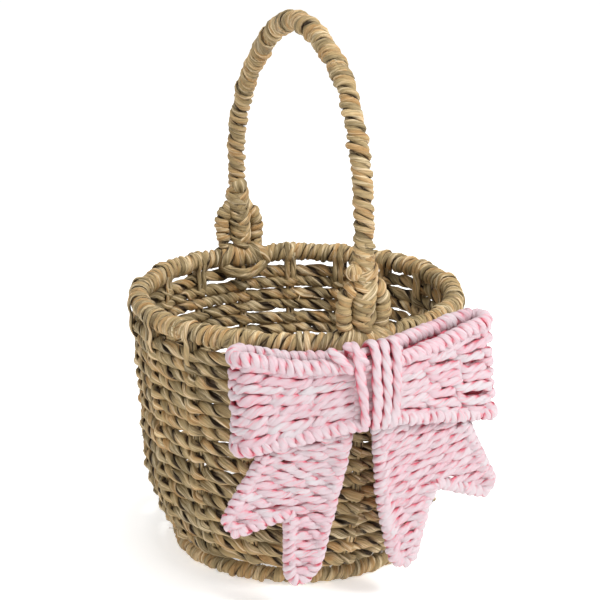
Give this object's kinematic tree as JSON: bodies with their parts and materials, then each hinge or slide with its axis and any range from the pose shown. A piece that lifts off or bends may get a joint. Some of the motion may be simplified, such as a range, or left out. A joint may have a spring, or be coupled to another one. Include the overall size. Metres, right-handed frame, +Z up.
{
  "type": "easter basket",
  "caption": "Round twined seagrass basket on wire stakes, with a coil-wrapped hoop handle, a standing ring and a stiff pink paper-rope bow with forked tails.",
  "frame": {"origin": "centre of the base, on the plane that the basket stands on", "axes": "+Z up out of the open mouth, -Y out of the front where the bow is, +X to the right of someone facing the bow; the handle's hoop lies in the YZ plane"},
  "size_m": [0.249, 0.2858, 0.4041],
  "materials": {
    "steel_wire": "satin",
    "seagrass": "matte",
    "paper_rope": "matte"
  },
  "bodies": {
    "root": {"back_foot_brace_wire": "steel_wire", "back_foot_brace_wrap": "seagrass", "back_foot_lashing": "seagrass", "base_ring_wire": "steel_wire", "base_ring_wrap": "seagrass", "bow_knot": "paper_rope", "bow_left_loop_edging": "paper_rope", "bow_left_loop_frame": "steel_wire", "bow_left_loop_weave": "paper_rope", "bow_left_tail_edging": "paper_rope", "bow_left_tail_frame": "steel_wire", "bow_left_tail_weave": "paper_rope", "bow_right_loop_edging": "paper_rope", "bow_right_loop_frame": "steel_wire", "bow_right_loop_weave": "paper_rope", "bow_right_tail_edging": "paper_rope", "bow_right_tail_frame": "steel_wire", "bow_right_tail_weave": "paper_rope", "bow_tie": "paper_rope", "floor_weave": "seagrass", "front_foot_brace_wire": "steel_wire", "front_foot_brace_wrap": "seagrass", "front_foot_lashing": "seagrass", "handle_wire": "steel_wire", "handle_wrap": "seagrass", "hub_ring_wire": "steel_wire", "rim_bindings": "seagrass", "rim_wire": "steel_wire", "rim_wrap": "seagrass", "stake_01": "steel_wire", "stake_02": "steel_wire", "stake_03": "steel_wire", "stake_04": "steel_wire", "stake_05": "steel_wire", "stake_06": "steel_wire", "stake_07": "steel_wire", "stake_08": "steel_wire", "stake_09": "steel_wire", "stake_10": "steel_wire", "stake_11": "steel_wire", "stake_12": "steel_wire", "stake_13": "steel_wire", "stake_14": "steel_wire", "stake_15": "steel_wire", "stake_16": "steel_wire", "stake_17": "steel_wire", "stake_18": "steel_wire", "wall_row_01": "seagrass", "wall_row_02": "seagrass", "wall_row_03": "seagrass", "wall_row_04": "seagrass", "wall_row_05": "seagrass", "wall_row_06": "seagrass", "wall_row_07": "seagrass", "wall_row_08": "seagrass", "wall_row_09": "seagrass", "wall_row_10": "seagrass", "wall_row_11": "seagrass", "wall_row_12": "seagrass", "wall_row_13": "seagrass"}
  },
  "joints": []
}
